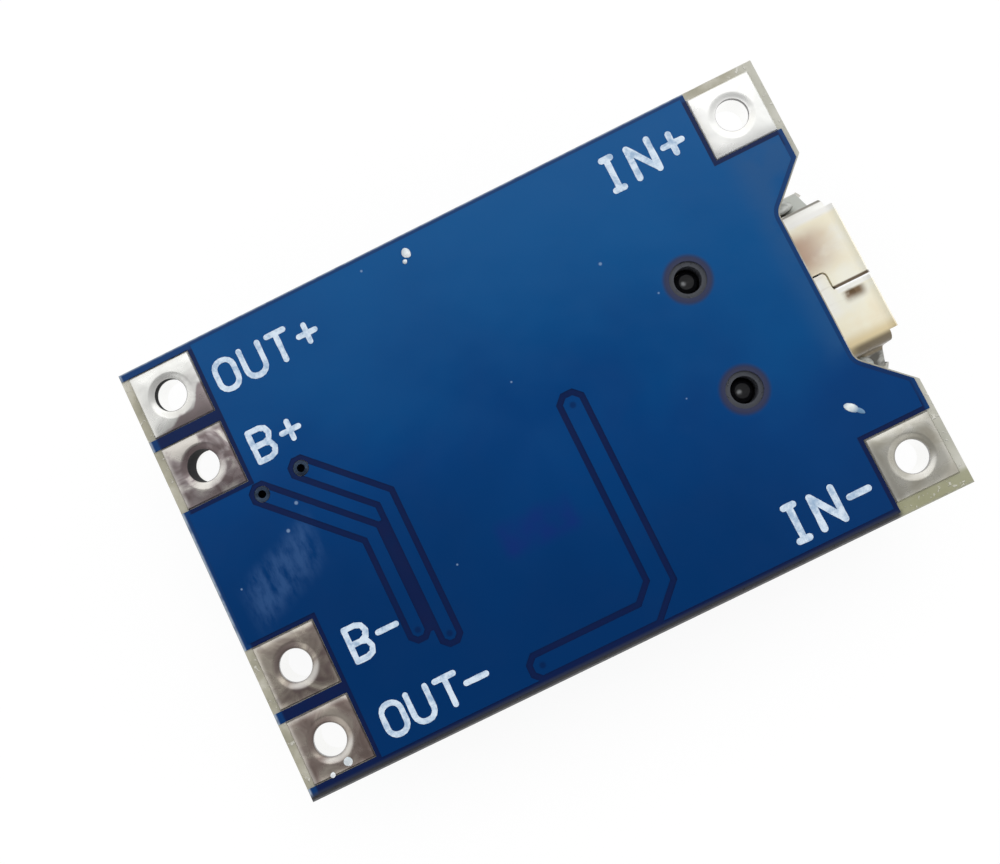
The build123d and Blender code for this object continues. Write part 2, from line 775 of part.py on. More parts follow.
# Components, each on its own seat
components = {}
for place, package in packages:
    where = seat(place.x, place.y, place.turn)
    components[place.name + "_body"] = package_body(where, package)
    components[place.name + "_leads"] = package_leads(where, package)
for place, chip in resistors + capacitors:
    where = seat(place.x, place.y, place.turn)
    body = chip_body(where, chip, coated=chip is small_resistor)
    components[place.name + "_body"] = body
    components[place.name + "_ends"] = chip_ends(where, chip, body)
for place, chip in indicators:
    where = seat(place.x, place.y, place.turn)
    body = chip_body(where, chip, coated=False)
    components[place.name + "_base"] = body
    components[place.name + "_ends"] = chip_ends(where, chip, body)
    components[place.name + "_lens"] = indicator_lens(where, chip)
for name, component in components.items():
    component.part.label = name


def joint(inner, width, climb):
    """Land and its solder, made with the toe of the lead on the plane x = 0 and the lead's sole on z = 0."""
    land = core_bottom - front_face
    outline = [
        (-inner, 0),
        (-inner, -land),
        (land_toe, -land),
        (land_toe, 0),
        (solder_hollow * land_toe, solder_hollow * climb),
        (0, climb),
        (0, 0),
    ]
    with BuildPart() as solder:
        with BuildSketch(Plane.XZ):
            Polygon(*outline, align=None)
        extrude(amount=width / 2 + land_side, both=True)
    return solder.part


def package_toes(package):
    """Toes of a package's leads, as place and heading."""
    first = -(package.per_side - 1) / 2 * package.pitch
    rows = [first + index * package.pitch for index in range(package.per_side)]
    return [(x, row_side * package.span / 2, 90 * row_side) for x in rows for row_side in (-1, 1)]


def toe_locations(place, toes):
    """Toes of a part as locations on the board, each with x pointing outwards and z away from the board."""
    where = seat(place.x, place.y, place.turn).location
    return [where * Location((x, y, 0), (0, 0, heading)) for x, y, heading in toes]


# Solder on every land of the component side
with BuildPart() as solder_joints:
    for place, package in packages:
        lead_joint = joint(package.foot + land_heel, package.lead, solder_climb * package.thick)
        with Locations(*toe_locations(place, package_toes(package))):
            add(lead_joint)
        if package.slug:
            with BuildSketch(seat(place.x, place.y, place.turn)):
                Rectangle(*package.slug)
            extrude(amount=front_face - core_bottom)
    for place, chip in resistors + capacitors + indicators:
        end_joint = joint(chip.band, chip.width, solder_climb * chip.height)
        with Locations(*toe_locations(place, [(chip.length / 2, 0, 0), (-chip.length / 2, 0, 180)])):
            add(end_joint)
    tail_joint = joint(contact_foot + land_heel, contact_width, solder_climb * contact_thickness)
    with Locations(*[seat(tail_foot_x, row, 180).location for row in contact_rows]):
        add(tail_joint)
    tab_joint = joint(tab_land_length - land_toe, tab_length, solder_climb * shell_sheet)
    feet = []
    for x in tab_xs:
        feet.append(seat(x, artwork_shift + tab_reach, 90).location)
        feet.append(seat(x, artwork_shift - tab_reach, -90).location)
    with Locations(*feet):
        add(tab_joint)
solder_joints.part.label = "solder_joints"

# One file for each piece
pieces = [laminate, solder_mask_back, solder_mask_front, vias]
pieces += [socket_shell, socket_housing, socket_contacts, solder_joints]
pieces += list(pads.values()) + list(components.values())
for piece in pieces:
    export_step(piece.part, f"parts/{piece.part.label}.step")
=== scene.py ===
"""Looks of the lithium battery charger module: finishes, print, small marks, light, floor and camera."""

from collections import namedtuple
from math import atan2, cos, pi, radians, sin

import bmesh
import bpy
from mathutils import Matrix, Vector, noise


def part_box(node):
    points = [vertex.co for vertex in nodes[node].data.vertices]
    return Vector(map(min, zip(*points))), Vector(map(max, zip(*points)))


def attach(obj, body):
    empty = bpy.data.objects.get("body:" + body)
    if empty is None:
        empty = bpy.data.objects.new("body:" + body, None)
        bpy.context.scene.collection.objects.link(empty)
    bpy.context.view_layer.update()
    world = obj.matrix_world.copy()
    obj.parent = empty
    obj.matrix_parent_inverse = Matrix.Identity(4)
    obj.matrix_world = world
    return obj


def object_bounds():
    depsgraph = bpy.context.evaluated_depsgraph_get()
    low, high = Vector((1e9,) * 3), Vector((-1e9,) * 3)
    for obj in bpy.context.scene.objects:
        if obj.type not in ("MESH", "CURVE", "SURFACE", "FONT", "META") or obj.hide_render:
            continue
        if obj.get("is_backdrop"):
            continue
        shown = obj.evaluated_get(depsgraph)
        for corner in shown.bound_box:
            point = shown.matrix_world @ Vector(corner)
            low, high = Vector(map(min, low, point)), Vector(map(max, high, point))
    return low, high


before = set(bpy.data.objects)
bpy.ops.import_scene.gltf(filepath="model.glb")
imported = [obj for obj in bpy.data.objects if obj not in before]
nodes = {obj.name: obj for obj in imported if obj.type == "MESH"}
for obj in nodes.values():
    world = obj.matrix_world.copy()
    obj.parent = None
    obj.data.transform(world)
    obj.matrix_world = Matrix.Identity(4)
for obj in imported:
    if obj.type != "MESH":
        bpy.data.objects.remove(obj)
cad_low, cad_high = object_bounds()

MM = 0.001

# Places on the board in millimetres, the same as in the CAD source
board_length = 26.0
board_width = 17.1
front_face = -1.16
core_top = -0.08
foil_and_tin = 0.07
pad_size = 2.42
pad_hole_radius = 0.6
pads = {
    "pad_input_plus": (11.37, 6.93),
    "pad_input_minus": (11.37, -6.77),
    "pad_output_plus": (-11.37, 6.93),
    "pad_battery_plus": (-11.37, 4.05),
    "pad_battery_minus": (-11.37, -3.89),
    "pad_output_minus": (-11.37, -6.77),
}
pegs = [(7.27, 2.28), (7.27, -2.12)]
covered_vias = [(-6.87, -4.65), (-5.9, -5.25), (-3.42, -7.67), (1.6, 0.08)]


def ink(red, green, blue):
    """Linear colour of an sRGB colour given as 0 to 255."""
    channels = []
    for value in (red, green, blue):
        share = value / 255
        channels.append(share / 12.92 if share <= 0.04045 else ((share + 0.055) / 1.055) ** 2.4)
    return (*channels, 1.0)


class Nodes:
    """Node tree with short calls for the nodes that it needs."""

    def __init__(self, tree):
        self.tree = tree
        tree.nodes.clear()

    def add(self, kind, **settings):
        node = self.tree.nodes.new(kind)
        for setting, value in settings.items():
            setattr(node, setting, value)
        return node

    def put(self, socket, value):
        if isinstance(value, bpy.types.NodeSocket):
            self.tree.links.new(value, socket)
        else:
            socket.default_value = value

    def math(self, operation, a, b=0.0):
        node = self.add("ShaderNodeMath", operation=operation)
        self.put(node.inputs[0], a)
        self.put(node.inputs[1], b)
        return node.outputs[0]

    def fade(self, value, start, end, low=0.0, high=1.0):
        """low where value is at start, high where it is at end, smooth between."""
        node = self.add("ShaderNodeMapRange", interpolation_type="SMOOTHSTEP")
        for index, given in enumerate((value, start, end, low, high)):
            self.put(node.inputs[index], given)
        return node.outputs[0]

    def spread(self, value, low=0.0, high=1.0):
        """From low to high over the middle of the range that a noise takes."""
        return self.fade(value, 0.3, 0.7, low, high)

    def blend(self, share, a, b):
        node = self.add("ShaderNodeMix", data_type="RGBA")
        self.put(node.inputs[0], share)
        self.put(node.inputs[6], a)
        self.put(node.inputs[7], b)
        return node.outputs[2]

    def all_of(self, *shares):
        """Product of shares."""
        product = shares[0]
        for share in shares[1:]:
            product = self.math("MULTIPLY", product, share)
        return product

    def sum_of(self, *terms):
        total = terms[0]
        for term in terms[1:]:
            total = self.math("ADD", total, term)
        return total

    def any_of(self, *shares):
        """Largest of shares."""
        largest = shares[0]
        for share in shares[1:]:
            largest = self.math("MAXIMUM", largest, share)
        return largest


class Graph(Nodes):
    """Node tree of one material. Points are in millimetres in the row frame, noise scales in 1/mm."""

    def __init__(self, name, **sockets):
        self.material = bpy.data.materials.new(name)
        self.material.use_nodes = True
        super().__init__(self.material.node_tree)
        self.shader = self.add("ShaderNodeBsdfPrincipled")
        output = self.add("ShaderNodeOutputMaterial")
        self.tree.links.new(self.shader.outputs[0], output.inputs["Surface"])
        place = self.add("ShaderNodeTexCoord").outputs["Object"]
        self.point = self.vector("SCALE", place, scale=1 / MM)
        parts = self.add("ShaderNodeSeparateXYZ")
        self.tree.links.new(self.point, parts.inputs[0])
        self.x, self.y, self.z = parts.outputs
        for socket, value in sockets.items():
            self.finish(socket.replace("_", " ").title().replace("Ior", "IOR"), value)

    def finish(self, socket, value):
        self.put(self.shader.inputs[socket], value)

    def vector(self, operation, a, b=(0, 0, 0), scale=1.0):
        node = self.add("ShaderNodeVectorMath", operation=operation)
        self.put(node.inputs[0], a)
        if operation == "SCALE":
            node.inputs["Scale"].default_value = scale
        else:
            self.put(node.inputs[1], b)
        return node.outputs["Value" if operation == "LENGTH" else "Vector"]

    def noise(self, scale, detail=2.0, stretch=(1, 1, 1), rough=0.5, shift=(0, 0, 0), distortion=0.0):
        point = self.vector("MULTIPLY", self.vector("ADD", self.point, shift), stretch)
        node = self.add("ShaderNodeTexNoise")
        self.put(node.inputs["Vector"], point)
        node.inputs["Scale"].default_value = scale
        node.inputs["Detail"].default_value = detail
        node.inputs["Roughness"].default_value = rough
        node.inputs["Distortion"].default_value = distortion
        return node.outputs["Fac"]

    def ramp(self, value, *stops):
        node = self.add("ShaderNodeValToRGB")
        self.put(node.inputs[0], value)
        elements = node.color_ramp.elements
        while len(elements) < len(stops):
            elements.new(0.5)
        for element, (place, colour) in zip(elements, stops):
            element.position = place
            element.color = colour
        return node.outputs[0]

    def bump(self, height, distance):
        """Tilts the surface as a relief of height times distance in millimetres would."""
        node = self.add("ShaderNodeBump")
        node.inputs["Strength"].default_value = 1.0
        node.inputs["Distance"].default_value = distance * MM
        self.put(node.inputs["Height"], height)
        self.finish("Normal", node.outputs[0])

    def reach(self, x, y):
        """Distance in the board's plane from a point."""
        offset = self.vector("SUBTRACT", self.vector("MULTIPLY", self.point, (1, 1, 0)), (x, y, 0))
        return self.vector("LENGTH", offset)

    def patch(self, west, east, south, north, soft):
        """1 inside a box of the board's plane, 0 outside, with soft edges."""
        return self.all_of(
            self.fade(self.x, west - soft, west + soft),
            self.fade(self.x, east + soft, east - soft),
            self.fade(self.y, south - soft, south + soft),
            self.fade(self.y, north + soft, north - soft),
        )

    def spot(self, x, y, inner, outer):
        """1 within inner of a point of the board's plane, 0 beyond outer."""
        return self.fade(self.reach(x, y), inner, outer, 1.0, 0.0)


# Solder mask: blue lacquer, dark where no copper lies under it
deep_blue = ink(1, 49, 102)
middle_blue = ink(1, 60, 119)
clear_blue = ink(2, 82, 142)
bare_blue = ink(6, 32, 76)
bare_violet = ink(22, 27, 68)
rim_blue = ink(18, 62, 116)
scuffed_blue = ink(66, 102, 152)
hazy_blue = ink(38, 84, 134)
smudge_violet = ink(26, 30, 118)
via_blue = ink(6, 20, 60)
dust_blue = ink(150, 176, 208)
peg_ring_grey = ink(84, 84, 96)
pale_edge_grey = ink(164, 178, 194)
# Grey for painted shade, along the -Y edge and around the pegs
shade_grey = ink(58, 62, 72)
back_mask_shine = 0.17
front_mask_shine = 0.3

# Specks of dust on the back: place and radius
specks = [
    (4.74, 4.2, 0.08),
    (6.12, 2.32, 0.05),
    (-9.57, 0.55, 0.09),
    (-8.88, 1.33, 0.09),
    (-3.11, 7.88, 0.06),
    (0.0, 1.8, 0.05),
    (-12.0, -0.6, 0.05),
    (5.3, -1.5, 0.04),
    (-4.6, -3.2, 0.05),
]


def back_mask():
    """Lacquer of the back: painted light makes it paler towards +Y, with moats, scuffs, haze, dust, lighter
    rims, pale rims that are partly painted highlight, and painted shade along the -Y edge.
    """
    g = Graph("blue_mask_back", specular_ior_level=back_mask_shine)
    # Painted light: the lacquer turns paler towards +Y and a little towards +X
    painted_light_drift = g.sum_of(g.all_of(g.x, 0.016), g.all_of(g.y, 0.05))
    cloud = g.all_of(g.noise(0.16, detail=3.0), 0.5)
    tone = g.fade(g.sum_of(painted_light_drift, cloud), -0.2, 0.75)
    colour = g.ramp(tone, (0.0, deep_blue), (0.45, middle_blue), (1.0, clear_blue))
    streak = g.noise(1.3, detail=5.0, stretch=(2.4, 0.8, 1), shift=(4, 0, 0), rough=0.6)
    band = g.math("SUBTRACT", g.y, g.all_of(g.sum_of(g.x, 10.4), 0.42))
    worn = g.all_of(g.fade(g.x, -12.4, -11.4), g.fade(g.x, -8.4, -9.2))
    worn = g.all_of(worn, g.fade(band, -2.1, -1.0), g.fade(band, 0.5, -0.3), g.fade(streak, 0.3, 0.66))
    colour = g.blend(g.all_of(worn, 0.45), colour, scuffed_blue)
    haze = g.all_of(g.fade(g.x, 9.9, 11.2), g.fade(g.y, -3.2, -2.2))
    haze = g.all_of(haze, g.fade(g.noise(0.8, detail=3.0), 0.2, 0.6))
    colour = g.blend(g.all_of(haze, 0.7), colour, hazy_blue)
    smudge = g.all_of(g.patch(-2.8, 0.0, -3.85, -2.6, 0.28), g.fade(g.noise(0.9, detail=3.0), 0.2, 0.7))
    colour = g.blend(g.all_of(smudge, 0.4), colour, smudge_violet)
    for x, y in covered_vias:
        colour = g.blend(g.all_of(g.spot(x, y, 0.06, 0.17), 0.5), colour, via_blue)
    for x, y, radius in specks:
        colour = g.blend(g.all_of(g.spot(x, y, radius * 0.4, radius), 0.55), colour, dust_blue)
    bare = g.fade(g.z, -0.018, -0.008, 1.0, 0.0)
    for x, y in pegs:
        bare = g.any_of(bare, g.spot(x, y, 0.78, 0.98))
    gap = g.blend(g.noise(1.3, detail=2.0), bare_blue, bare_violet)
    by_socket = g.all_of(g.fade(g.x, 10.8, 10.9), g.fade(g.math("ABSOLUTE", g.y), 5.2, 5.0))
    # Lighter blue over the bare gap along the rims and beside the socket, less so at the socket's lower side
    lighter_rim = g.any_of(g.fade(g.y, 8.1, 8.2), g.fade(g.math("ABSOLUTE", g.x), 12.5, 12.6))
    lighter_rim = g.any_of(lighter_rim, g.all_of(by_socket, g.fade(g.y, -3.4, -2.6, 0.6, 1.0)))
    gap = g.blend(g.all_of(lighter_rim, 0.82), gap, rim_blue)
    colour = g.blend(g.all_of(bare, 0.94), colour, gap)
    # A greyer ring on the lacquer around each peg
    for x, y in pegs:
        colour = g.blend(g.all_of(g.spot(x, y, 0.74, 1.0), 0.42), colour, peg_ring_grey)
    # Pale lacquer along the +Y and -X rims: partly the whitish cut edge, partly painted highlight
    pale_and_highlit_edge = g.any_of(g.fade(g.y, 8.36, 8.44), g.fade(g.x, -12.74, -12.82))
    pale_and_highlit_edge = g.all_of(pale_and_highlit_edge, g.fade(g.noise(2.5, detail=3.0), 0.3, 0.6, 0.45, 0.95))
    colour = g.blend(pale_and_highlit_edge, colour, pale_edge_grey)
    # Painted shade along the -Y edge, which faces away from the light
    edge_shade = g.all_of(g.fade(g.y, -8.16, -8.3), g.fade(g.x, 10.2, 10.0))
    colour = g.blend(g.all_of(edge_shade, 0.7), colour, shade_grey)
    g.finish("Base Color", colour)
    grain = g.noise(7.0, detail=3.0)
    wave = g.noise(0.7, detail=1.0)
    g.bump(g.sum_of(g.all_of(grain, 0.12), wave), 0.012)
    g.finish("Roughness", g.spread(g.noise(0.5, detail=3.0), 0.16, 0.26))
    return g.material


# Routes of the traces on the component side
front_traces = [
    [(-10.2, 6.9), (-8.9, 7.4)],
    [(-10.2, 4.0), (-9.7, 3.5), (-9.7, 0.9), (-9.5, 0.5)],
    [(-7.6, 0.3), (-6.0, -1.3), (-5.0, -1.3), (-3.9, -2.4)],
    [(-7.05, 3.2), (-6.4, 2.6), (-5.4, 2.6), (-5.2, 3.1)],
    [(-4.9, 7.0), (-5.2, 6.6), (-5.2, 5.4)],
    [(-2.45, 5.3), (-2.53, 4.9), (-2.53, 3.9)],
    [(0.35, 5.3), (0.01, 4.9), (0.01, 3.9)],
    [(2.25, 5.3), (2.95, 6.0), (2.95, 6.8), (2.7, 7.05)],
    [(5.4, 7.05), (6.4, 7.2)],
    [(0.01, -3.1), (0.2, -3.4)],
    [(2.1, -3.6), (1.9, -4.4)],
    [(1.9, -6.7), (2.6, -7.4), (9.4, -7.4)],
    [(-1.9, -4.5), (-1.3, -3.9), (-1.26, -3.1)],
    [(-8.5, -6.4), (-10.1, -6.6)],
    [(-8.5, -4.6), (-9.2, -4.0), (-10.1, -3.9)],
    [(4.0, 1.7), (3.0, 1.7), (2.2, 2.5), (2.2, 3.6), (1.9, 4.6)],
]


def front_mask(name="blue_mask_front", dark=False):
    """Lacquer of the component side. The dark one lies where there is no copper under it."""
    g = Graph(name, specular_ior_level=front_mask_shine)
    cloud = g.noise(0.3, detail=3.0)
    colours = (bare_blue, bare_violet) if dark else (deep_blue, clear_blue)
    colour = g.blend(cloud, *colours)
    rim_x = g.math("SUBTRACT", board_length / 2, g.math("ABSOLUTE", g.x))
    rim_y = g.math("SUBTRACT", board_width / 2, g.math("ABSOLUTE", g.y))
    rim = g.fade(g.math("MINIMUM", rim_x, rim_y), 0.34, 0.38, 1.0, 0.0)
    g.finish("Base Color", g.blend(rim, colour, bare_blue))
    g.bump(g.math("SUBTRACT", g.all_of(g.noise(5.0, detail=3.0), 0.2), rim), 0.02)
    g.finish("Roughness", g.spread(g.noise(0.5, detail=3.0), 0.16, 0.26))
    return g.material


# Look of one pad: three tones, partly its own tarnish and partly painted light, how they lean across it as
# painted light, how mottled and dished it is, the hole's upper wall, painted shade where it is dark, and how
# deep that reaches, and how brown its foot is
Tin = namedtuple("Tin", "dark middle bright lean mottle dish wall wall_depth stain")
rim_highlight = ink(238, 236, 230)
edge_highlight = ink(232, 230, 222)
foot_brown = ink(128, 112, 114)
lit_wall = ink(252, 252, 250)


def pad_tin(name, centre, tin):
    """Hot-dipped tin, pillowed at its edges, dished at the hole, and clouded where the dip ran thin, with
    painted light: its tones lean lighter towards +Y and -X, painted highlights lie on those two edges and on
    the rim below the hole, and painted shade on the rim above it.
    """
    g = Graph(name)
    x, y = centre
    east, north = g.math("SUBTRACT", g.x, x), g.math("SUBTRACT", g.y, y)
    side_u = g.math("POWER", g.math("DIVIDE", g.math("ABSOLUTE", east), pad_size / 2), 6.0)
    side_v = g.math("POWER", g.math("DIVIDE", g.math("ABSOLUTE", north), pad_size / 2), 6.0)
    away = g.reach(x, y)
    dish = g.fade(away, pad_hole_radius, pad_hole_radius + 0.28, 1.0, 0.0)
    ripple = g.noise(0.8, detail=2.0, shift=(3 * x, y, 0), distortion=0.4)
    pillow = g.sum_of(side_u, side_v, dish)
    g.bump(g.math("SUBTRACT", g.all_of(ripple, 0.6), pillow), 0.1 * tin.dish)
    cloud = g.noise(1.0, detail=3.0, shift=(x, 2 * y, 5), rough=0.55, distortion=0.7)
    cloud = g.sum_of(g.all_of(g.math("SUBTRACT", cloud, 0.5), tin.mottle), 0.5)
    # Painted light: the tones lean lighter towards +Y and -X
    painted_light_slope = g.all_of(g.math("SUBTRACT", north, east), tin.lean)
    tone = g.sum_of(painted_light_slope, cloud)
    colour = g.ramp(tone, (0.3, tin.dark), (0.5, tin.middle), (0.7, tin.bright))
    rim = g.fade(away, pad_hole_radius + 0.12, pad_hole_radius + 0.32, 1.0, 0.0)
    # Painted highlight: a pale crescent on the rim below the hole
    below = g.all_of(rim, g.fade(g.sum_of(north, g.all_of(east, -0.3)), -0.25, -0.6))
    # Painted shade on the rim above and left of the hole
    above = g.all_of(rim, g.fade(g.sum_of(north, g.all_of(east, -0.6)), 0.1, 0.6))
    colour = g.blend(g.all_of(below, 0.6), colour, rim_highlight)
    colour = g.blend(g.all_of(above, 0.5 * tin.mottle), colour, tin.dark)
    # Painted highlight along the pad's +Y and -X edges
    edge = g.any_of(g.fade(north, 1.0, 1.18), g.fade(east, -1.0, -1.18))
    colour = g.blend(g.all_of(edge, 0.35), colour, edge_highlight)
    # Browner towards the pad's -Y and +X foot
    climb = g.sum_of(north, g.fade(east, -0.6, 0.1, 0.3, 0.0), g.fade(east, 0.5, 1.1, 0.0, -0.8))
    climb = g.sum_of(climb, g.all_of(cloud, 0.3))
    colour = g.blend(g.fade(climb, -0.62, -0.78, 0.0, tin.stain), colour, foot_brown)
    # The hole's wall: the wall colour down to its depth, painted shade in some holes, then white and
    # mirror-like
    inside = g.fade(away, pad_hole_radius + 0.005, pad_hole_radius + 0.015, 1.0, 0.0)
    bright = g.fade(g.z, -tin.wall_depth, -tin.wall_depth - 0.08)
    wall = g.blend(bright, tin.wall, lit_wall)
    g.finish("Base Color", g.blend(inside, colour, wall))
    g.finish("Metallic", g.fade(inside, 0.0, 1.0, 0.55, bright))
    wall_roughness = g.fade(bright, 0.0, 1.0, 0.8, 0.06)
    g.finish("Roughness", g.fade(inside, 0.0, 1.0, g.spread(cloud, 0.36, 0.24), wall_roughness))
    return g.material


def bright_metal(name, colour, shade, roughness=(0.2, 0.35), scale=1.2, relief=0.01, stretch=(1, 1, 1)):
    """Metal with clouds of a second shade and slight relief."""
    g = Graph(name, metallic=1.0)
    cloud = g.noise(scale, detail=4.0, stretch=stretch)
    g.finish("Base Color", g.blend(g.fade(cloud, 0.32, 0.68), shade, colour))
    g.finish("Roughness", g.spread(g.noise(scale * 2.3, detail=3.0, stretch=stretch), *roughness))
    g.bump(g.noise(scale * 3, detail=3.0, stretch=stretch), relief)
    return g.material


def dull_solder(name, dark, bright):
    """Solder that set slowly: pale, matt and clouded."""
    g = Graph(name, metallic=0.2)
    cloud = g.noise(2.2, detail=3.0)
    g.finish("Base Color", g.blend(g.fade(cloud, 0.35, 0.65), dark, bright))
    g.finish("Roughness", g.spread(cloud, 0.5, 0.35))
    g.bump(g.noise(3.0, detail=3.0), 0.03)
    return g.material


def dried_flux():
    """Flux left by the iron: white where it is thick, clear and blue towards its rim."""
    g = Graph("dried_flux", roughness=0.4)
    thick = g.spot(10.24, -4.3, 0.08, 0.34)
    thick = g.all_of(thick, g.fade(g.noise(3.0, detail=3.0), 0.2, 0.6, 0.6, 1.0))
    g.finish("Base Color", g.blend(thick, ink(104, 142, 176), ink(238, 244, 242)))
    g.bump(g.noise(4.0, detail=3.0), 0.02)
    return g.material


# Where the inside of the socket's shell starts, from the start to the end of a fade: below the neck's face,
# beside the middle of the neck and of the body, where the body is wide, and above its wide face
below_neck_face = (0.22, 0.27)
inside_neck = (2.68, 2.63)
inside_body = (3.64, 3.59)
below_shoulder = (2.1, 2.2)
above_wide_face = (3.74, 3.69)


def shell_metal():
    """Tinned sheet: warm clouds, painted highlights and painted shade on the neck and shoulder seen in the
    notch, painted shade of a dent below the seam, a dark seam, and painted shade inside the tube.
    """
    g = Graph("tinned_sheet")
    cloud = g.noise(0.7, detail=4.0, shift=(2, 0, 0), distortion=0.5)
    cream = ((0.3, ink(251, 240, 212)), (0.5, ink(255, 249, 226)), (0.7, ink(255, 254, 242)))
    colour = g.ramp(cloud, *cream)
    level = g.math("SUBTRACT", front_face, g.z)
    silver = g.blend(g.spread(cloud), ink(206, 205, 200), ink(232, 231, 226))
    colour = g.blend(g.fade(level, 0.3, 0.9, 0.0, 0.85), colour, silver)
    near = g.all_of(g.fade(g.z, -3.3, -3.0), g.fade(g.x, 10.9, 11.2))
    face = g.fade(g.z, -1.75, -1.6)
    # Painted highlight: the neck's face is white left of x 12.2 below the seam, where it mirrors the light
    pale = g.all_of(g.fade(g.x, 12.2, 11.7), g.fade(g.y, 0.5, 0.4), g.fade(g.y, -1.6, -0.9))
    warm = g.all_of(g.fade(g.y, 0.1, 1.2), g.fade(g.y, 2.5, 1.7), g.fade(g.x, 13.6, 11.4))
    warm = g.all_of(warm, g.fade(g.noise(0.9, detail=3.0, shift=(1, 7, 0)), 0.2, 0.55, 0.35, 1.0))
    # Painted shade of a small dent below the seam at the mouth
    dent_shade_ends = g.all_of(g.fade(g.x, 12.2, 12.5), g.fade(g.x, 13.3, 12.9))
    stain = g.all_of(dent_shade_ends, g.fade(g.y, -0.46, -0.58), g.fade(g.y, -1.05, -0.68))
    stain = g.all_of(stain, g.fade(g.noise(1.4, detail=3.0, shift=(5, 0, 0)), 0.2, 0.42, 0.35, 1.0))
    # Painted highlight: a white strip just below the seam
    strip = g.all_of(g.fade(g.x, 12.1, 12.25), g.fade(g.y, -0.52, -0.46), g.fade(g.y, -0.2, -0.26))
    seam = g.all_of(g.fade(g.x, 12.05, 12.15), g.fade(g.y, -0.3, -0.27), g.fade(g.y, -0.13, -0.19))
    # Painted shadow in the crease between the neck and the shoulder
    crease_shadow = g.all_of(g.fade(g.y, 2.84, 2.92), g.fade(g.noise(2.0), 0.2, 0.45))
    slit = g.all_of(g.fade(g.y, 3.0, 3.06), g.fade(g.y, 3.34, 3.26), g.fade(g.x, 12.9, 12.2))
    # Painted shade on the neck's lower rounded edge, darkest at its foot
    foot = g.all_of(g.fade(g.y, -2.38, -2.62), g.fade(g.x, 11.4, 12.0, 0.35, 1.0))
    # Below the foot: partly solder, partly painted shadow, mottled grey and dark
    lumpy = g.blend(g.fade(g.noise(1.6, detail=3.0), 0.4, 0.6), ink(96, 94, 88), ink(190, 190, 184))
    for share, tint in (
        # Painted highlight on the neck's face
        (g.all_of(g.any_of(pale, strip), face), ink(255, 254, 248)),
        (g.all_of(warm, face), ink(192, 162, 142)),
        # Painted highlight on the rounded top edge of the neck
        (g.all_of(g.fade(g.y, 2.3, 2.5), near), ink(255, 254, 250)),
        # Painted shadow in that crease
        (g.all_of(crease_shadow, near), ink(128, 124, 112)),
        # Painted shade: the shoulder beyond the neck in grey
        (g.all_of(g.fade(g.y, 3.02, 3.12), near), ink(190, 193, 186)),
        (g.all_of(slit, near), ink(92, 88, 78)),
        # Painted shade: yellowish on the lower rounded edge, dark brown at its foot below
        (g.all_of(g.fade(g.y, -1.9, -2.4), near), ink(232, 214, 172)),
        (g.all_of(foot, near), ink(128, 116, 94)),
        # Partly solder, partly painted shadow below the foot
        (g.all_of(g.fade(g.y, -2.98, -3.1), near), lumpy),
        # Painted shade of the dent
        (g.all_of(stain, face), ink(122, 98, 72)),
        (g.all_of(seam, face), ink(104, 88, 70)),
    ):
        colour = g.blend(share, colour, tint)
    rolled = g.noise(6.0, detail=3.0, stretch=(0.12, 1, 1))
    colour = g.blend(g.fade(rolled, 0.6, 0.8, 0.0, 0.15), colour, ink(176, 160, 142))
    # Painted shade inside the tube: the inner faces of the sheet turn dark
    width = g.math("ABSOLUTE", g.y)
    narrow = g.all_of(g.fade(level, *below_neck_face), g.fade(width, *inside_neck))
    wide = g.all_of(g.fade(level, *below_shoulder), g.fade(width, *inside_body))
    inner = g.all_of(g.any_of(narrow, wide), g.fade(level, *above_wide_face))
    colour = g.blend(inner, colour, ink(48, 45, 42))
    g.finish("Base Color", colour)
    bare = g.fade(level, 0.5, 1.0, 0.0, 0.6)
    g.finish("Metallic", g.sum_of(bare, g.spread(g.noise(0.9), 0.0, 0.1)))
    g.finish("Roughness", g.spread(cloud, 0.42, 0.3))
    g.bump(g.sum_of(g.all_of(rolled, 0.25), g.noise(0.8, detail=1.0)), 0.02)
    return g.material


def laminate():
    """Glass fibre in epoxy: layers and frayed specks on its cut edges, paler towards +X as painted light,
    olive along -Y near the socket and dark along the rest of -Y as painted shade, and painted shade around
    the pegs.
    """
    g = Graph("fibre_laminate", roughness=0.55, specular_ior_level=0.4)
    layers = g.noise(1.4, detail=4.0, stretch=(0.5, 0.5, 9.0))
    fibre = ((0.3, ink(142, 140, 122)), (0.5, ink(178, 174, 156)), (0.72, ink(220, 217, 206)))
    colour = g.ramp(layers, *fibre)
    # Painted light: paler towards +X, on the edges that face the lamps
    colour = g.blend(g.all_of(g.fade(g.x, 11.9, 12.6), 0.6), colour, ink(206, 206, 196))
    olive = g.all_of(g.fade(g.y, -7.8, -8.05), g.fade(g.x, 9.6, 10.2))
    colour = g.blend(g.all_of(olive, 0.8), colour, ink(154, 154, 120))
    fringe = g.fade(g.noise(5.0, detail=3.0, stretch=(1, 1, 3)), 0.6, 0.68)
    colour = g.blend(g.all_of(fringe, 0.5), colour, ink(240, 238, 230))
    # Painted shade along the -Y edge, which faces away from the light
    shaded_edge = g.all_of(g.fade(g.y, -8.2, -8.3), g.fade(g.x, 10.3, 10.0))
    colour = g.blend(shaded_edge, colour, g.blend(layers, ink(48, 50, 56), ink(74, 74, 76)))
    # Partly mask residue, partly painted shade: darker around each peg's hole
    for x, y in pegs:
        colour = g.blend(g.all_of(g.spot(x, y, 0.7, 0.9), 0.96), colour, shade_grey)
    g.finish("Base Color", colour)
    g.bump(g.sum_of(layers, g.all_of(fringe, 0.5)), 0.04)
    return g.material


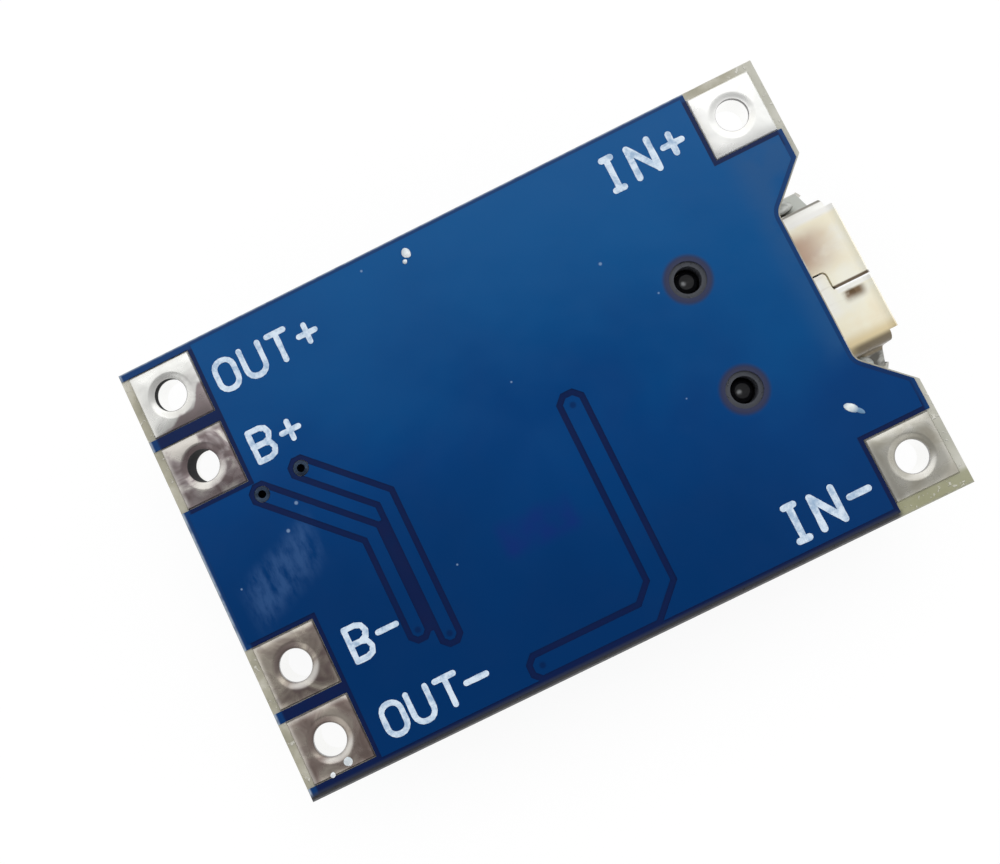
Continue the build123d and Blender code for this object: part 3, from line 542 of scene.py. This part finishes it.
def moulded(name, colour, shade, roughness, scale, relief):
    """Moulded epoxy or plastic with a fine grain."""
    g = Graph(name, specular_ior_level=0.4)
    cloud = g.noise(scale * 0.12, detail=3.0)
    g.finish("Base Color", g.blend(cloud, colour, shade))
    g.finish("Roughness", g.spread(cloud, roughness, roughness + 0.12))
    g.bump(g.noise(scale, detail=3.0), relief)
    return g.material


def housing_plastic():
    """Black moulded plastic, with a painted highlight on the end of each peg."""
    g = Graph("socket_black", specular_ior_level=0.4)
    cloud = g.noise(0.8, detail=3.0)
    colour = g.blend(cloud, ink(13, 14, 18), ink(22, 23, 27))
    for x, y in pegs:
        # Painted highlight on the end of the peg
        peg_highlight = g.all_of(g.spot(x - 0.12, y, 0.03, 0.13), g.fade(g.z, -0.8, -0.7))
        peg_highlight = g.all_of(peg_highlight, g.fade(g.noise(4.0), 0.2, 0.5))
        colour = g.blend(g.all_of(peg_highlight, 0.8), colour, ink(150, 152, 154))
    g.finish("Base Color", colour)
    g.finish("Roughness", g.spread(cloud, 0.38, 0.5))
    g.bump(g.noise(6.0, detail=3.0), 0.012)
    return g.material


def resistor(name, node):
    """White ceramic with a black glaze on the face away from the board."""
    g = Graph(name, specular_ior_level=0.4)
    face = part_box(node)[0].z / MM
    glaze = g.fade(g.z, face + 0.03, face + 0.06, 1.0, 0.0)
    ceramic = g.blend(g.noise(3.0), ink(226, 222, 212), ink(240, 238, 232))
    black = g.blend(g.noise(2.0), ink(20, 20, 22), ink(34, 33, 36))
    g.finish("Base Color", g.blend(glaze, ceramic, black))
    g.finish("Roughness", g.fade(glaze, 0.0, 1.0, 0.6, 0.3))
    g.bump(g.noise(5.0, detail=3.0), 0.01)
    return g.material


def resin(name, colour):
    """Clear resin with a slight haze."""
    g = Graph(name, transmission_weight=0.55, specular_ior_level=0.5, ior=1.5)
    haze = g.noise(1.6, detail=2.0)
    g.finish("Base Color", g.blend(haze, colour, ink(250, 246, 238)))
    g.finish("Roughness", g.spread(haze, 0.12, 0.3))
    return g.material


def silk():
    """Bluish white ink, thinner here and there."""
    g = Graph("print_ink", specular_ior_level=0.3)
    thin = g.fade(g.noise(2.6, detail=4.0, rough=0.65), 0.3, 0.6)
    g.finish("Base Color", g.blend(thin, ink(160, 186, 214), ink(222, 236, 250)))
    g.finish("Roughness", g.fade(thin, 0.0, 1.0, 0.6, 0.42))
    g.bump(g.noise(6.0, detail=3.0), 0.02)
    return g.material


def dress(material, *names):
    """Gives a material to CAD nodes."""
    for name in names:
        mesh = nodes[name].data
        mesh.materials.clear()
        mesh.materials.append(material)


# Painted shade on the upper wall of the output plus and battery plus holes
hole_shade = ink(22, 22, 24)
rim_grey = ink(168, 166, 166)
# Tones of each pad: partly its own tarnish and partly painted reflection of the lamps, which makes the input
# plus pad nearly white
tins = {
    "pad_input_plus": Tin(
        dark=ink(240, 241, 238),
        middle=ink(250, 250, 247),
        bright=ink(254, 254, 252),
        lean=0.05,
        mottle=0.6,
        dish=0.4,
        wall=rim_grey,
        wall_depth=0.1,
        stain=0.0,
    ),
    "pad_input_minus": Tin(
        dark=ink(168, 163, 149),
        middle=ink(188, 185, 174),
        bright=ink(200, 198, 190),
        lean=0.02,
        mottle=1.0,
        dish=1.0,
        wall=rim_grey,
        wall_depth=0.04,
        stain=0.0,
    ),
    "pad_output_plus": Tin(
        dark=ink(206, 204, 201),
        middle=ink(238, 238, 234),
        bright=ink(246, 246, 242),
        lean=0.1,
        mottle=1.0,
        dish=0.9,
        wall=hole_shade,
        wall_depth=0.24,
        stain=0.85,
    ),
    "pad_battery_plus": Tin(
        dark=ink(118, 105, 105),
        middle=ink(160, 150, 150),
        bright=ink(208, 203, 196),
        lean=0.09,
        mottle=2.4,
        dish=1.0,
        wall=hole_shade,
        wall_depth=0.8,
        stain=0.3,
    ),
    "pad_battery_minus": Tin(
        dark=ink(112, 98, 95),
        middle=ink(148, 137, 128),
        bright=ink(182, 173, 160),
        lean=0.08,
        mottle=1.7,
        dish=1.0,
        wall=rim_grey,
        wall_depth=0.04,
        stain=0.0,
    ),
    "pad_output_minus": Tin(
        dark=ink(122, 107, 101),
        middle=ink(148, 134, 127),
        bright=ink(178, 168, 157),
        lean=0.06,
        mottle=1.7,
        dish=1.0,
        wall=rim_grey,
        wall_depth=0.04,
        stain=0.0,
    ),
}
dress(back_mask(), "solder_mask_back")
dress(front_mask(), "solder_mask_front")
for pad, centre in pads.items():
    dress(pad_tin("tin_" + pad[4:], centre, tins[pad]), pad)
dress(laminate(), "laminate")
dress(bright_metal("via_tin", ink(92, 112, 138), ink(58, 70, 90)), "vias")
dress(shell_metal(), "socket_shell")
dress(housing_plastic(), "socket_housing")
dress(bright_metal("gilt", ink(230, 196, 120), ink(206, 172, 104)), "socket_contacts")
dress(bright_metal("solder_fillet", ink(196, 198, 200), ink(158, 160, 163), relief=0.02), "solder_joints")
chips = ["charge_controller", "protection_chip", "switch_chip"]
epoxy = moulded("chip_epoxy", ink(25, 25, 27), ink(34, 33, 34), 0.5, 12.0, 0.014)
dress(epoxy, *[name + "_body" for name in chips])
lead_tin = bright_metal("lead_tin", ink(206, 206, 202), ink(170, 170, 168))
dress(lead_tin, *[name + "_leads" for name in chips])
band_tin = bright_metal("band_tin", ink(208, 208, 206), ink(172, 172, 171), scale=3.0, relief=0.015)
for number in range(1, 7):
    body = f"resistor_{number}_body"
    dress(resistor(f"resistor_glaze_{number}", body), body)
    dress(band_tin, f"resistor_{number}_ends")
ceramic_brown = moulded("capacitor_ceramic", ink(146, 108, 80), ink(120, 86, 64), 0.5, 7.0, 0.01)
for number in range(1, 4):
    dress(ceramic_brown, f"capacitor_{number}_body")
    dress(band_tin, f"capacitor_{number}_ends")
white_base = moulded("indicator_white", ink(236, 233, 222), ink(222, 218, 206), 0.42, 7.0, 0.008)
for colour, tint in (("red", ink(242, 214, 206)), ("blue", ink(214, 230, 244))):
    dress(white_base, f"indicator_{colour}_base")
    dress(band_tin, f"indicator_{colour}_ends")
    dress(resin("resin_" + colour, tint), f"indicator_{colour}_lens")


# Print: strokes of ink with round ends and slightly uneven width
ink_height = 0.012
stroke_step = 0.12
wobble = 0.16
wobble_rate = 2.7
cap_steps = 6
corner_share = 0.45


def arc(x, y, radius, start, end, steps=4):
    """Points of an arc, angles in degrees."""
    turns = [radians(start + (end - start) * i / steps) for i in range(steps + 1)]
    return [(x + radius * cos(turn), y + radius * sin(turn)) for turn in turns]


def stroke(bm, points, width, level, height, seed):
    """Adds one stroke of ink to a mesh, standing on level and as thick as height, which may be negative."""
    fine = [Vector(points[0])]
    for start, end in zip(points, points[1:]):
        start, end = Vector(start), Vector(end)
        count = max(1, round((end - start).length / stroke_step))
        fine += [start.lerp(end, (i + 1) / count) for i in range(count)]
    closed = (fine[0] - fine[-1]).length < 1e-6
    if closed:
        fine.pop()
    total = len(fine)
    left, right = [], []
    for index, point in enumerate(fine):
        before = fine[index - 1] if closed or index else point
        after = fine[(index + 1) % total] if closed or index + 1 < total else point
        along = (after - before).normalized()
        across = Vector((-along.y, along.x))
        uneven = noise.noise(Vector((point.x * wobble_rate, point.y * wobble_rate, seed)))
        half = width / 2 * (1 + wobble * uneven)
        left.append(point + across * half)
        right.append(point - across * half)

    def corner(flat, up):
        return bm.verts.new((flat.x * MM, flat.y * MM, (level + up) * MM))

    rings = [[corner(p, up) for p in edge] for edge in (left, right) for up in (0, height)]
    left_low, left_high, right_low, right_high = rings
    for index in range(total if closed else total - 1):
        near, far = index, (index + 1) % total
        bm.faces.new((left_high[near], left_high[far], right_high[far], right_high[near]))
        bm.faces.new((left_low[near], left_low[far], left_high[far], left_high[near]))
        bm.faces.new((right_low[near], right_low[far], right_high[far], right_high[near]))
    if closed:
        return
    for middle, edge, end in ((fine[-1], left[-1], -1), (fine[0], right[0], 0)):
        turn = atan2(edge.y - middle.y, edge.x - middle.x)
        half = (edge - middle).length
        cap = [turn - pi * i / cap_steps for i in range(1, cap_steps)]
        cap = [middle + half * Vector((cos(angle), sin(angle))) for angle in cap]
        low = [corner(p, 0) for p in cap]
        high = [corner(p, height) for p in cap]
        ends = (left_low, left_high, right_low, right_high)
        if end == 0:
            ends = (right_low, right_high, left_low, left_high)
        low = [ends[0][end]] + low + [ends[2][end]]
        high = [ends[1][end]] + high + [ends[3][end]]
        bm.faces.new(high)
        for near in range(len(low) - 1):
            bm.faces.new((low[near], low[near + 1], high[near + 1], high[near]))


def piece(name, bm, material, smooth=False):
    """Makes an object of a mesh, riding on the part."""
    mesh = bpy.data.meshes.new(name)
    bmesh.ops.recalc_face_normals(bm, faces=bm.faces)
    bm.to_mesh(mesh)
    bm.free()
    for polygon in mesh.polygons:
        polygon.use_smooth = smooth
    mesh.materials.append(material)
    made = bpy.data.objects.new(name, mesh)
    bpy.context.scene.collection.objects.link(made)
    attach(made, "root")
    return made


def letter_o(x, y, width, height):
    corner = width * corner_share
    points = arc(x + corner, y + corner, corner, 270, 180)
    points += arc(x + corner, y + height - corner, corner, 180, 90)
    points += arc(x + width - corner, y + height - corner, corner, 90, 0)
    points += arc(x + width - corner, y + corner, corner, 0, -90)
    return [points + points[:1]]


def letter_u(x, y, width, height):
    corner = width * corner_share
    points = [(x, y + height)] + arc(x + corner, y + corner, corner, 180, 270)
    return [points + arc(x + width - corner, y + corner, corner, 270, 360) + [(x + width, y + height)]]


def letter_t(x, y, width, height):
    middle = x + width / 2
    return [[(x, y + height), (x + width, y + height)], [(middle, y + height), (middle, y)]]


def letter_b(x, y, width, height):
    """Stem, then the two bowls."""
    middle = y + height * 0.5
    upper, lower = (y + height - middle) / 2, (middle - y) / 2
    top = [(x, y + height)] + arc(x + width - upper, middle + upper, upper, 90, -90) + [(x, middle)]
    low = [(x, middle)] + arc(x + width - lower, y + lower, lower, 90, -90) + [(x, y)]
    return [[(x, y), (x, y + height)], top, low]


def letter_i(x, y, width, height):
    middle = x + width / 2
    foot, head = [(x, y), (x + width, y)], [(x, y + height), (x + width, y + height)]
    return [foot, head, [(middle, y), (middle, y + height)]]


def letter_n(x, y, width, height):
    left, right = [(x, y), (x, y + height)], [(x + width, y), (x + width, y + height)]
    return [left, right, [left[1], right[0]]]


def plus(x, y, half):
    return [[(x - half, y), (x + half, y)], [(x, y - half), (x, y + half)]]


def minus(x, y, half):
    return [[(x - half, y), (x + half, y)]]


# Each mark's width of stroke, and its letters
legends = {
    "legend_output_plus": (0.21, [
        letter_o(-9.55, 6.13, 0.74, 1.11),
        letter_u(-8.45, 6.13, 0.75, 1.11),
        letter_t(-7.3, 6.2, 0.67, 1.06),
        plus(-5.885, 6.726, 0.33),
    ]),
    "legend_battery_plus": (0.21, [letter_b(-9.43, 3.24, 0.73, 1.14), plus(-7.95, 3.81, 0.33)]),
    "legend_battery_minus": (0.21, [letter_b(-9.29, -4.73, 0.72, 1.2), minus(-7.84, -4.12, 0.36)]),
    "legend_output_minus": (0.21, [
        letter_o(-9.34, -7.65, 0.74, 1.13),
        letter_u(-8.28, -7.65, 0.76, 1.13),
        letter_t(-7.14, -7.57, 0.73, 1.02),
        minus(-5.736, -7.07, 0.39),
    ]),
    "legend_input_plus": (0.235, [
        letter_i(6.44, 6.33, 0.335, 1.21),
        letter_n(7.41, 6.36, 0.81, 1.16),
        plus(9.0, 6.963, 0.37),
    ]),
    "legend_input_minus": (0.245, [
        letter_i(6.55, -7.71, 0.375, 1.27),
        letter_n(7.52, -7.68, 0.81, 1.19),
        minus(9.147, -7.08, 0.36),
    ]),
}
ink_white = silk()
ink_step = 0.0004
seed_step = 1.7
for name, (width, letters) in legends.items():
    bm = bmesh.new()
    for seed, points in enumerate(p for letter in letters for p in letter):
        stroke(bm, points, width, 0.0, ink_height + ink_step * seed, seed_step * seed)
    piece(name, bm, ink_white)


# Small marks of the soldering
bead_sides = 14
bead_rows = 4


def bead(bm, x, y, level, radius, height, seed, stretch=1.0, turned=0.0, lean=0.0):
    """Flat drop: rings of points that shrink towards its top, longer by stretch along a heading in degrees.
    Its base falls by lean for each millimetre along Y."""
    rings = []
    for row in range(bead_rows):
        lift = row / bead_rows * pi / 2
        ring = []
        for side in range(bead_sides):
            turn = 2 * pi * side / bead_sides
            uneven = 1 + wobble * noise.noise(Vector((cos(turn), sin(turn), seed)))
            reach = radius * cos(lift) * uneven
            long, short = reach * stretch * cos(turn), reach * sin(turn)
            spin = radians(turned)
            flat = (x + long * cos(spin) - short * sin(spin), y + long * sin(spin) + short * cos(spin))
            spot = Vector((*flat, level - lean * (flat[1] - y) + height * sin(lift)))
            ring.append(bm.verts.new(spot * MM))
        rings.append(ring)
    top = bm.verts.new(Vector((x, y, level + height)) * MM)
    for side in range(bead_sides):
        after = (side + 1) % bead_sides
        for low, high in zip(rings, rings[1:]):
            bm.faces.new((low[side], low[after], high[after], high[side]))
        bm.faces.new((rings[-1][side], rings[-1][after], top))
    bm.faces.new(rings[0])


# Drops of solder near the +Y edge and on the output minus pad
mask_top = 0.0
pad_top = core_top + foil_and_tin
bm = bmesh.new()
bead(bm, -1.36, 7.74, mask_top, radius=0.17, height=0.08, seed=1, stretch=1.2, turned=100)
bead(bm, -1.53, 7.47, mask_top, radius=0.09, height=0.05, seed=2)
bead(bm, -11.12, -7.73, pad_top, radius=0.17, height=0.05, seed=3)
bead(bm, -11.81, -7.93, pad_top, radius=0.1, height=0.03, seed=4)
bead_solder = dull_solder("dull_solder", ink(200, 210, 216), ink(246, 250, 252))
piece("solder_beads", bm, bead_solder, smooth=True)

# Runs of solder on the sloping shoulders of the socket's shell
shoulder_level = -2.89
shoulder_fall = 0.65 / 0.85
bm = bmesh.new()
bead(bm, 12.15, 3.58, shoulder_level, radius=0.34, height=0.26, seed=5, stretch=2.0, lean=shoulder_fall)
bead(bm, 12.2, -3.34, shoulder_level, radius=0.42, height=0.24, seed=6, stretch=1.45, lean=-shoulder_fall)
bead(bm, 11.5, -3.36, shoulder_level, radius=0.36, height=0.2, seed=7, stretch=1.3, lean=-shoulder_fall)
run_solder = dull_solder("solder_run", ink(150, 152, 146), ink(214, 216, 210))
piece("shoulder_solder", bm, run_solder, smooth=True)

# Flux beside the input minus pad
bm = bmesh.new()
bead(bm, 10.28, -4.33, mask_top, radius=0.15, height=0.03, seed=5, stretch=1.9, turned=-42)
bead(bm, 10.5, -4.55, mask_top, radius=0.09, height=0.02, seed=8, stretch=2.2, turned=-48)
piece("flux_drop", bm, dried_flux(), smooth=True)


# Print of the component side: lines along each chip's two sides without leads, and bars by the indicators
outline_gap = 0.18
outline_width = 0.12
bar_gap = 0.75
bar_width = 0.14
bar_seed = 20


def outline_of(node, grow):
    """Corners of a node's box, grown in the board's plane, as a closed loop."""
    low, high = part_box(node)
    x0, y0, x1, y1 = low.x / MM - grow, low.y / MM - grow, high.x / MM + grow, high.y / MM + grow
    return [(x0, y0), (x1, y0), (x1, y1), (x0, y1), (x0, y0)]


bm = bmesh.new()
for seed, node in enumerate(["charge_controller_body", "switch_chip_body", "protection_chip_body"]):
    corners = outline_of(node, outline_gap)
    first = 0 if node == "switch_chip_body" else 1
    for start in (first, first + 2):
        stroke(bm, corners[start : start + 2], outline_width, front_face, -ink_height, seed + start)
for seed, colour in enumerate(("red", "blue")):
    low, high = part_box(f"indicator_{colour}_base")
    x = low.x / MM - bar_gap
    stroke(bm, [(x, low.y / MM), (x, high.y / MM)], bar_width, front_face, -ink_height, seed + bar_seed)
piece("print_front", bm, ink_white)

# Traces of the component side, each a raised run in a field without copper
trace_step = 0.0002
trace_seed = 30
for name, width, height, dark in (("front_moats", 0.74, 0.004, True), ("front_traces", 0.34, 0.012, False)):
    bm = bmesh.new()
    for seed, route in enumerate(front_traces):
        stroke(bm, route, width, front_face, -height - trace_step * seed, seed + trace_seed)
    piece(name, bm, front_mask("blue_" + name, dark))


# Floor: pale paper that holds shadows, white to the camera and in reflections, and clear from below
floor_size = 3.0
floor_gap = 0.00001
glow_share = 0.85
paper_grey = (0.8, 0.8, 0.8, 1)
past_white = (1.06, 1.06, 1.06, 1)
bm = bmesh.new()
corners = [(-1, -1), (1, -1), (1, 1), (-1, 1)]
floor_level = cad_low.z - floor_gap
bm.faces.new([bm.verts.new((x * floor_size, y * floor_size, floor_level)) for x, y in corners])
floor_mesh = bpy.data.meshes.new("floor")
bm.to_mesh(floor_mesh)
bm.free()
floor = bpy.data.objects.new("floor", floor_mesh)
bpy.context.scene.collection.objects.link(floor)
floor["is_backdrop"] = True
paper = bpy.data.materials.new("paper")
paper.use_nodes = True
g = Nodes(paper.node_tree)
matt = g.add("ShaderNodeBsdfDiffuse")
matt.inputs["Color"].default_value = paper_grey
glow = g.add("ShaderNodeEmission")
glow.inputs["Color"].default_value = past_white
rays = g.add("ShaderNodeLightPath").outputs
seen = g.any_of(rays["Is Camera Ray"], rays["Is Glossy Ray"], rays["Is Transmission Ray"])
both = g.add("ShaderNodeMixShader")
g.put(both.inputs[0], g.all_of(seen, glow_share))
g.put(both.inputs[1], matt.outputs[0])
g.put(both.inputs[2], glow.outputs[0])
from_above = g.add("ShaderNodeMixShader")
g.put(from_above.inputs[0], g.add("ShaderNodeNewGeometry").outputs["Backfacing"])
g.put(from_above.inputs[1], both.outputs[0])
g.put(from_above.inputs[2], g.add("ShaderNodeBsdfTransparent").outputs[0])
g.put(g.add("ShaderNodeOutputMaterial").inputs["Surface"], from_above.outputs[0])
floor_mesh.materials.append(paper)

# World: a pale room. Overhead it is dim, and opens towards +Y and a little towards +X
world = bpy.data.worlds.new("studio")
bpy.context.scene.world = world
world.use_nodes = True
g = Nodes(world.node_tree)
heading = g.add("ShaderNodeSeparateXYZ")
g.put(heading.inputs[0], g.add("ShaderNodeTexCoord").outputs["Generated"])
east, north, up = heading.outputs
window = g.sum_of(north, g.all_of(east, 0.35))
ceiling = g.sum_of(
    g.fade(north, -0.1, 0.08, 0.13, 0.2),
    g.fade(north, 0.1, 0.3, 0.0, 0.7),
    g.fade(east, 0.1, 0.36, 0.0, 0.25),
    g.fade(window, 0.27, 0.42, 0.0, 0.4),
)
unseen = g.math("SUBTRACT", 1.0, g.add("ShaderNodeLightPath").outputs["Is Camera Ray"])
above_head = g.all_of(g.fade(up, 0.45, 0.8), unseen)
strength = g.sum_of(g.all_of(g.math("SUBTRACT", ceiling, 1.0), above_head), 1.0)
sky = g.add("ShaderNodeBackground")
sky.inputs["Color"].default_value = (1, 1, 1, 1)
g.put(sky.inputs["Strength"], strength)
g.put(g.add("ShaderNodeOutputWorld").inputs["Surface"], sky.outputs[0])


def lamp(name, place, width, height, radiance, colour=(1, 1, 1)):
    """Soft rectangular lamp that faces the part. Lengths in millimetres."""
    light = bpy.data.lights.new(name, "AREA")
    light.shape = "RECTANGLE"
    light.size = width * MM
    light.size_y = height * MM
    light.energy = radiance * pi * width * height * MM * MM
    light.color = colour
    made = bpy.data.objects.new(name, light)
    made.location = Vector(place) * MM
    made.visible_glossy = False
    made.rotation_euler = (-Vector(place)).to_track_quat("-Z", "Y").to_euler()
    bpy.context.scene.collection.objects.link(made)


lamp("window", (105, 160, 300), width=240, height=220, radiance=1.5, colour=(0.96, 0.98, 1.0))
lamp("side", (420, -60, 160), width=200, height=160, radiance=1.6)

# Camera at the photograph's viewing angle, its place in millimetres
eye_place = Vector((-0.363, -2.038, 32.086))
right = Vector((0.89656, -0.43947, -0.05512))
forward = Vector((-0.02465, 0.07474, -0.9969))
camera = bpy.data.cameras.new("camera")
camera.sensor_width = 36.0
camera.lens = 32.4
camera.clip_start = 0.002
camera.clip_end = 20.0
eye = bpy.data.objects.new("camera", camera)
above = right.cross(forward)
turn = Matrix((right, above, -forward)).transposed()
eye.matrix_world = Matrix.Translation(eye_place * MM) @ turn.to_4x4()
bpy.context.scene.collection.objects.link(eye)
bpy.context.scene.camera = eye
bpy.context.scene.view_settings.view_transform = "Standard"

low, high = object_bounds()
